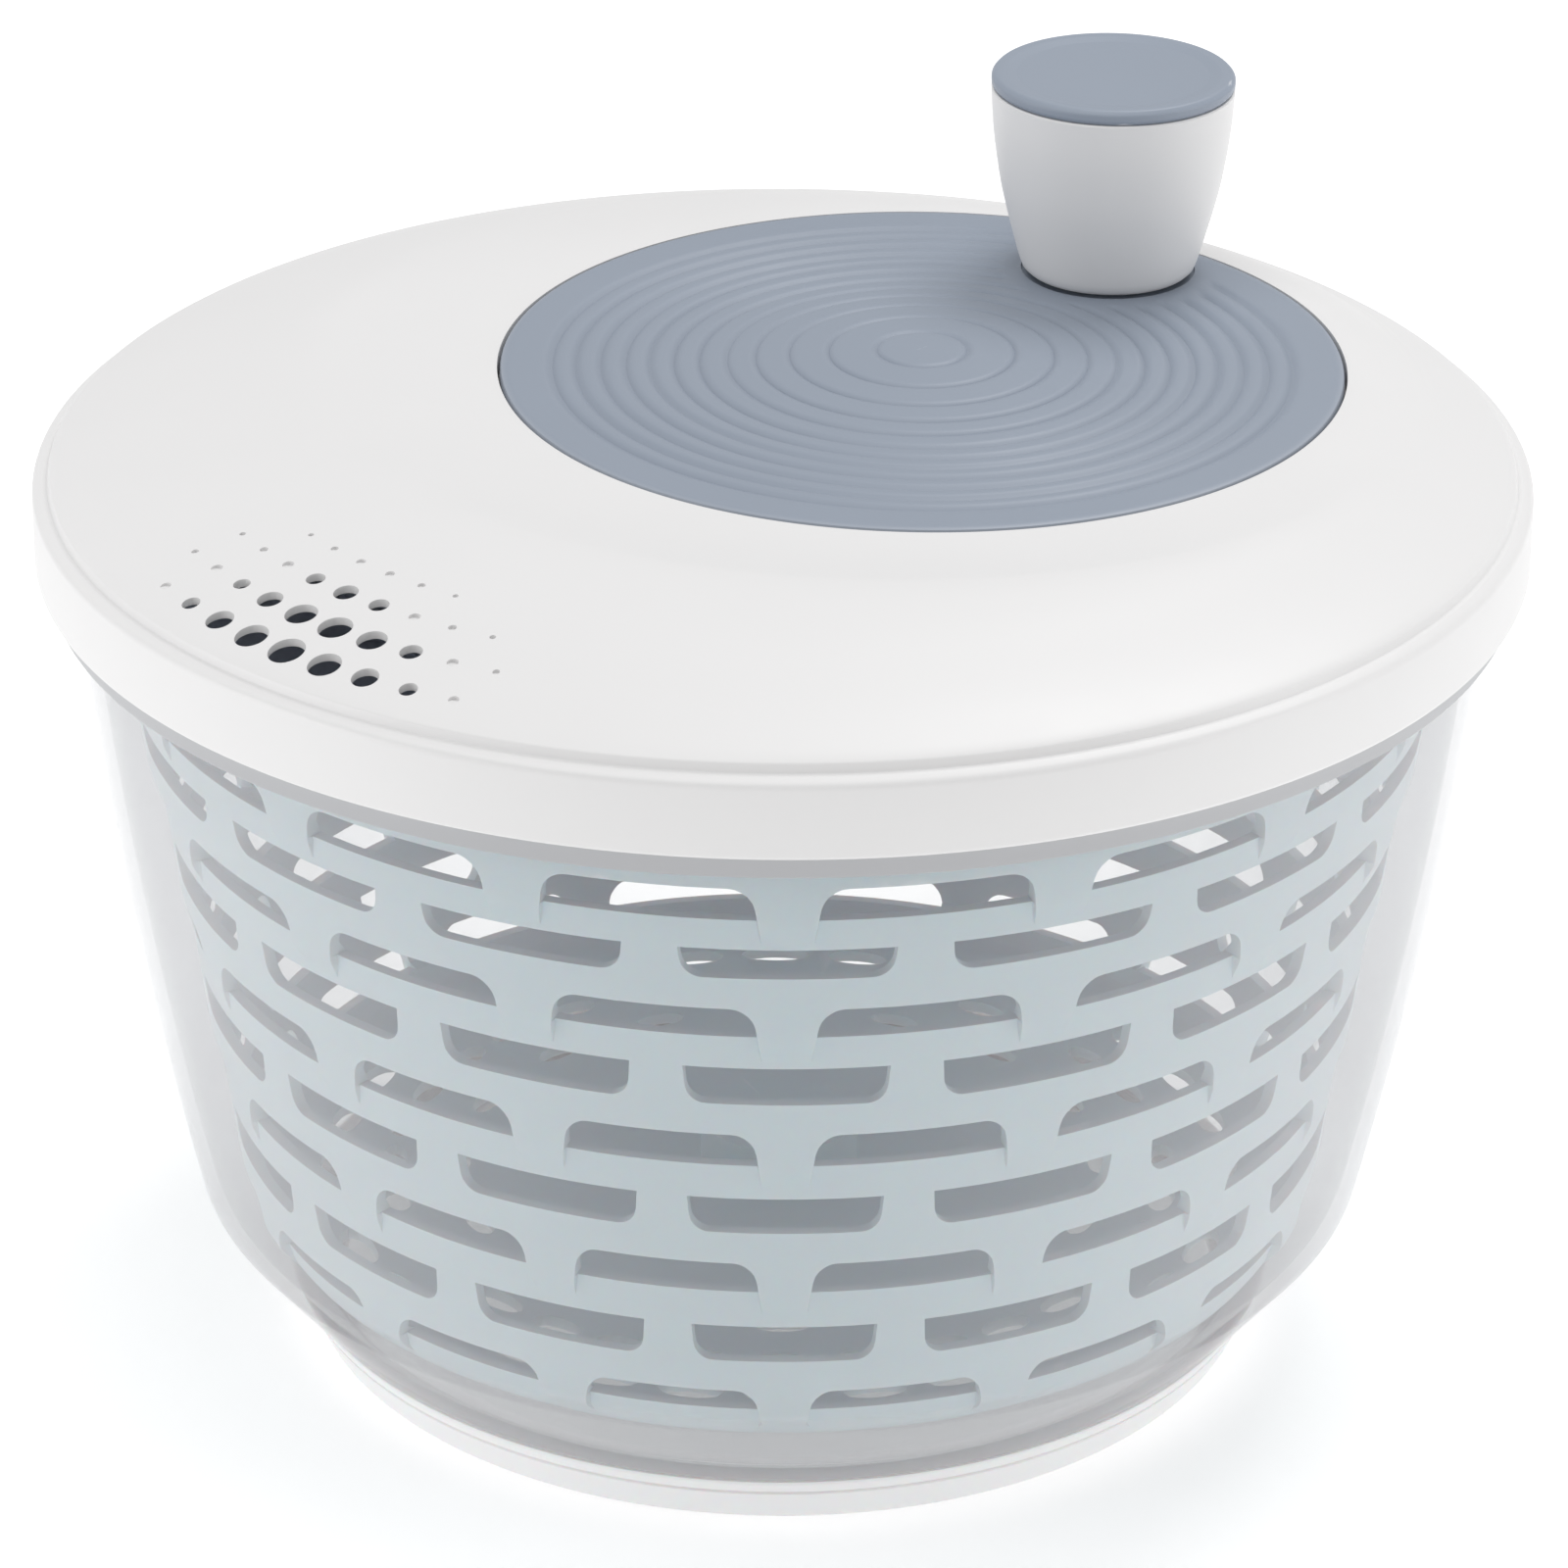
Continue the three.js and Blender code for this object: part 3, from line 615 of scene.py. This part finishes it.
def lid_top(columns, drop, count):
    """Rings of the lid's top from the rim groove in, over the soft crest and down the dish."""
    edge = DISC_TOP - 0.3 - drop
    rings = []
    for k in range(count + 1):
        u = 2 * k / count
        t = min(1, u)
        s = max(0, u - 1)
        centre = (mix(DISH[0] * t, DISC[0], s), mix(DISH[1] * t, DISC[1], s))
        r = mix(mix(126.4, DISH_R, t), DISC_HOLE_R + (2 if drop else 0), s)
        ring = []
        for j in range(columns):
            a = j * math.tau / columns
            x, y = polar(centre, r, a)
            crest = dome(*polar(DISH, DISH_R, a)) - drop
            outer = dome(x, y) - thinned(x, y, drop)
            ring.append((x, y, outer if s == 0 else mix(crest, edge, math.sin(s * math.pi / 2))))
        rings.append(ring)
    smoothed = []
    for i, ring in enumerate(rings):
        reach = min(CREST_BLEND, i, count - i)
        near = rings[i - reach:i + reach + 1]
        smoothed.append([(x, y, sum(n[j][2] for n in near) / len(near))
                         for j, (x, y, _) in enumerate(ring)])
    return smoothed


def lid():
    columns = 288

    def hoop(centre, r, z):
        return [(*polar(centre, r, j * math.tau / columns), z) for j in range(columns)]

    skirt = fillet([
        (127.2, RIM_Z - 0.1), (127.2, SKIRT_Z, 0.3), (128.2, SKIRT_Z, 0.5),
        (128.7, SKIRT_Z + 4.0, 0.2), (130.5, SKIRT_Z + 4.3, 0.9), (SKIRT_R, RIM_Z + 0.2, 1.6),
        (128.5, RIM_Z + 1.0, 0.5), (127.7, RIM_Z + 1.1, 0.4), (127.3, RIM_Z + 2.7, 0.7),
        (126.4, RIM_Z + 3.2),
    ], 5)[:-1]
    rings = [hoop(AXIS, r, z) for r, z in skirt]
    rings += lid_top(columns, 0, 60)
    rings += [hoop(DISC, DISC_HOLE_R, DISC_TOP - 0.6), hoop(DISC, DISC_HOLE_R, SHELF_TOP),
              hoop(DISC, SHELF_R, SHELF_TOP), hoop(DISC, SHELF_R, SHELF_LOW),
              hoop(DISC, DISC_HOLE_R + 2, SHELF_LOW)]
    rings += lid_top(columns, SHEET, 24)[::-1]
    obj = loft("lid_dome", rings, replaces=["lid_shell"], body="lid", material=WHITE,
               slot="white_plastic")
    cutters = []
    for radius, middle, step, widths in POUR_ROWS:
        for i, width in enumerate(widths):
            a = math.radians(middle + (i - (len(widths) - 1) / 2) * step)
            centre = polar(AXIS, radius, a)
            low = 150 if width > THROUGH else dome(*centre) - 0.5
            half = HOLE_HALF * width
            cutters.append(lathe_data([(0, low), (half, low), (half, 180), (0, 180)], 28, centre))
    boolean(obj, cutters)
    obj.data.set_sharp_from_angle(angle=math.radians(35))
    # Faces of the skirt's lower lip take the grey: painted shade under the skirt's step.
    obj.data.materials.append(LIP_SHADE)
    for face in obj.data.polygons:
        if face.center.z < (SKIRT_Z + LIP_HIGH) * MM:
            face.material_index = 1


# ---- Crank disc ----
CROWN, CROWN_R = 2.4, 41        # the middle of the disc stands proud of the flat round the knob
GROOVES = (8.2, 16.6, 23.6, 29.6, 34.7, 39.5, 44.0, 48.3, 52.6, 57.0, 61.4, 65.7)


def disc_height(r, a):
    x, y = polar(DISC, r, a)
    clear_of_knob = smoothstep(19.2, 21, math.hypot(x - KNOB[0], y - KNOB[1]))
    depth = 0.0
    for groove in GROOVES:
        soft = smoothstep(20, 60, groove)
        width = mix(0.45, 0.85, soft)
        depth += mix(0.5, 0.7, soft) * math.exp(-((r - groove) / width) ** 2)
    crown = CROWN * max(0, 1 - (r / CROWN_R) ** 2) ** 1.5
    return DISC_TOP + crown - depth * clear_of_knob


def crank_disc():
    columns = 256
    points, faces = [], []
    radii = [k * 0.5 for k in range(1, 142)] + [71.5, 73, DISC_R - 0.7]
    rim = GEAR_HIGH.z + 0.3
    under = [(DISC_R - 0.25, DISC_TOP - 0.2), (DISC_R, DISC_TOP - 0.65), (DISC_R, DISC_UNDER),
             (58.8, DISC_UNDER), (58.8, rim), (53.9, rim), (53.9, DISC_UNDER), (4.6, DISC_UNDER),
             (4.6, 152.6), (1.7, 152.6), (1.7, 163)]
    points.append((*DISC, DISC_TOP + CROWN))
    rows = [(r, None) for r in radii] + under
    for r, z in rows:
        for k in range(columns):
            a = k * math.tau / columns
            points.append((*polar(DISC, r, a), disc_height(r, a) if z is None else z))
    points.append((*DISC, 163))
    for i in range(len(rows) - 1):
        for k in range(columns):
            n = (k + 1) % columns
            a, b = 1 + i * columns, 1 + (i + 1) * columns
            faces.append((a + k, b + k, b + n, a + n))
    last = 1 + (len(rows) - 1) * columns
    for k in range(columns):
        n = (k + 1) % columns
        faces.append((0, 1 + k, 1 + n))
        faces.append((last + k, len(points) - 1, last + n))
    obj = make_object("crank_disc_top", points, faces, replaces=["crank_disc"], body="crank",
                      material=SLATE, slot="slate_plastic")
    boss = lathe_data(fillet([(0, DISC_TOP - 1.5), (8, DISC_TOP - 1.5), (8, 178.7, 0.8), (0, 178.7)]),
                      64, KNOB)
    seat = lathe_data(fillet([(12.2, DISC_TOP - 0.6, 0.3), (16, DISC_TOP - 0.6, 0.3),
                              (16, DISC_TOP + 1), (12.2, DISC_TOP + 1)]), 96, KNOB)
    bore = lathe_data([(0, 169), (3.3, 169), (3.3, 180), (0, 180)], 48, KNOB)
    boolean(obj, [boss], "UNION")
    boolean(obj, [seat, bore])
    obj.data.set_sharp_from_angle(angle=math.radians(35))


# ---- Knob ----
# Outside of the knob's body: height above the crank disc and radius.
KNOB_SIDE = ((1.2, 15.9), (3, 16.55), (7.4, 17.75), (12, 18.95), (16.7, 20.05), (22, 20.95),
             (28, 21.7), (35, 22.15))
GRIP_TOP = 207.05               # a hair under the cap
CAP_UNDER = 207.1


def knob():
    low_z, top = BODY_LOW.z, BODY_HIGH.z
    side = [(curve(KNOB_SIDE, h), DISC_TOP + h) for h in
            [mix(1.2, top - DISC_TOP, k / 28) for k in range(29)]]
    lathe("knob_grip", [
        *fillet([(12.2, low_z, 0.3), (15, low_z, 0.7), side[0]], 5)[:-1], *side,
        (21.9, GRIP_TOP), (19.8, GRIP_TOP), (19.1, 197), (18, 190.5), (7.5, 190.5), (7.5, 195),
        (4.6, 195), (4.6, 181.1), (7.5, 181.1), (7.5, 187.5), (16.6, 187.5), (15, 180.5), (13.4, 174),
    ], 144, KNOB, replaces=["knob_body"], body="knob", material=WHITE, slot="white_plastic")
    low, high = CAP_LOW.z, CAP_HIGH.z
    lathe("knob_top", fillet([
        (0, CAP_UNDER), (16.8, CAP_UNDER), (16.8, low), (19.1, low, 0.4), (19.1, CAP_UNDER),
        (21.5, CAP_UNDER, 0.3), (22.15, 207.8, 0.6), (22.15, 209.0, 0.8), (21.4, high, 0.9),
        (19.6, high - 0.05, 1.2), (17.5, high - 0.5, 2), (10, high - 0.75), (0, high - 0.8),
    ], 6), 144, KNOB, replaces=["knob_cap"], body="knob", material=SLATE, slot="slate_plastic")


# ---- Drive plate ----
def drive_plate():
    low, web, lip = PLATE_LOW.z + 2.9, PLATE_LOW.z + 5.4, PLATE_LOW.z + 7.9
    rib = web + 0.6
    # The plate takes the lighter slate: painted light.
    obj = lathe("drive_plate_web", fillet([
        (1.9, low, 0.4), (110.6, low, 1.5), (112.5, low + 2.2, 1.5), (112.5, lip, 0.5),
        (110.3, lip, 0.5), (110.3, web, 0.8),
        (80, web, 0.4), (79.5, rib, 0.4), (77.5, rib, 0.4), (77, web, 0.4),
        (40, web, 0.4), (39.5, rib, 0.4), (37.5, rib, 0.4), (37, web, 0.4),
        (12, web, 0.6), (12, PLATE_HIGH.z, 0.4), (7.6, PLATE_HIGH.z), (7.6, web), (1.9, web),
    ], 3), 192, replaces=["drive_plate"], body="drive", material=PLATE_SLATE_PAINTED_LIGHT, slot="slate_plastic")
    lugs = []
    for k in range(4):
        middle = FRONT + (RIB_A + PITCH / 2) / 2 + k * math.pi / 2
        half = 4 / 112.5
        ring = [polar(AXIS, r, middle + t)
                for r, t in ((108, -half), (117.8, -half), (117.8, half), (108, half))]
        points = [(*p, z) for z in (PLATE_LOW.z, web) for p in ring]
        sides = [[i, (i + 1) % 4, (i + 1) % 4 + 4, i + 4] for i in range(4)]
        lugs.append((points, [[3, 2, 1, 0], [4, 5, 6, 7], *sides]))
    boolean(obj, lugs, "UNION")
    obj.data.set_sharp_from_angle(angle=math.radians(35))
    soften_edges(obj, 0.4)


# ---- Mechanism kept from the frame ----
KEPT = {
    "acetal": (ACETAL, 0.25), "steel": (STEEL, 0.15), "white_plastic": (WHITE, 0.4),
}


def finish_frame_nodes():
    """Frame nodes that show as they are get their finish and softly rounded edges."""
    replaced = {"bowl", "foot_ring", "basket", "lid_shell", "crank_disc", "knob_body", "knob_cap",
                "drive_plate"}
    slots = {part["node"]: part["material_slot"] for part in frame["record"]["subparts"]}
    for name, obj in frame["nodes"].items():
        if name in replaced:
            continue
        material, width = KEPT[slots[name]]
        obj.data.materials.clear()
        obj.data.materials.append(material)
        soften_edges(obj, width)


# ---- Stage ----
PITCH_DOWN, YAW, ROLL = math.radians(26.0), 0.0005, 0.0058
CAMERA_AT = (0, -0.986, 0.5803)
SENSOR_MM = 36
FOCAL_MM = SENSOR_MM * 6250 / 1600


def camera():
    data = bpy.data.cameras.new("camera")
    data.lens = FOCAL_MM
    data.sensor_width = SENSOR_MM
    data.clip_start = 0.05
    obj = bpy.data.objects.new("camera", data)
    turn = (Matrix.Rotation(-YAW, 4, "Z") @ Matrix.Rotation(math.pi / 2 - PITCH_DOWN, 4, "X")
            @ Matrix.Rotation(ROLL, 4, "Z"))
    obj.matrix_world = Matrix.Translation(CAMERA_AT) @ turn
    bpy.context.scene.collection.objects.link(obj)
    bpy.context.scene.camera = obj


def area_light(name, place, target, size, power):
    data = bpy.data.lights.new(name, "AREA")
    data.shape = "DISK"
    data.size = size
    data.energy = power
    obj = bpy.data.objects.new(name, data)
    way = Vector(target) - Vector(place)
    obj.matrix_world = Matrix.Translation(place) @ way.to_track_quat("-Z", "Y").to_matrix().to_4x4()
    bpy.context.scene.collection.objects.link(obj)


def stage():
    points = [(x, y, -0.01) for x, y in ((-6000, -4000), (6000, -4000), (6000, 8000), (-6000, 8000))]
    floor_paint = plastic("floor_paint", (0.95, 0.95, 0.95), 0.9, grain=0, shade=0.004,
                          **{"Specular IOR Level": 0.0, "Emission Color": (1, 1, 1, 1),
                             "Emission Strength": 0.32})
    floor = make_object("floor", points, [(0, 1, 2, 3)], material=floor_paint)
    world = bpy.data.worlds.new("studio")
    bpy.context.scene.world = world
    world.use_nodes = True
    world.node_tree.nodes["Background"].inputs["Color"].default_value = (1.0, 1.0, 1.0, 1)
    world.node_tree.nodes["Background"].inputs["Strength"].default_value = 0.5
    middle = (0, 0, 0.09)
    area_light("key", (0.35, 0.5, 1.2), middle, 0.6, 5)
    area_light("top", (-0.25, -0.2, 1.5), middle, 1.1, 5.4)
    area_light("left", (-1.35, -0.4, 0.4), middle, 0.8, 4.8)
    area_light("right", (1.35, -0.4, 0.4), middle, 0.8, 4.3)
    bpy.context.scene.view_settings.view_transform = "Standard"


camera()
bowl()
foot_ring()
basket()
lid()
crank_disc()
knob()
drive_plate()
finish_frame_nodes()
stage()
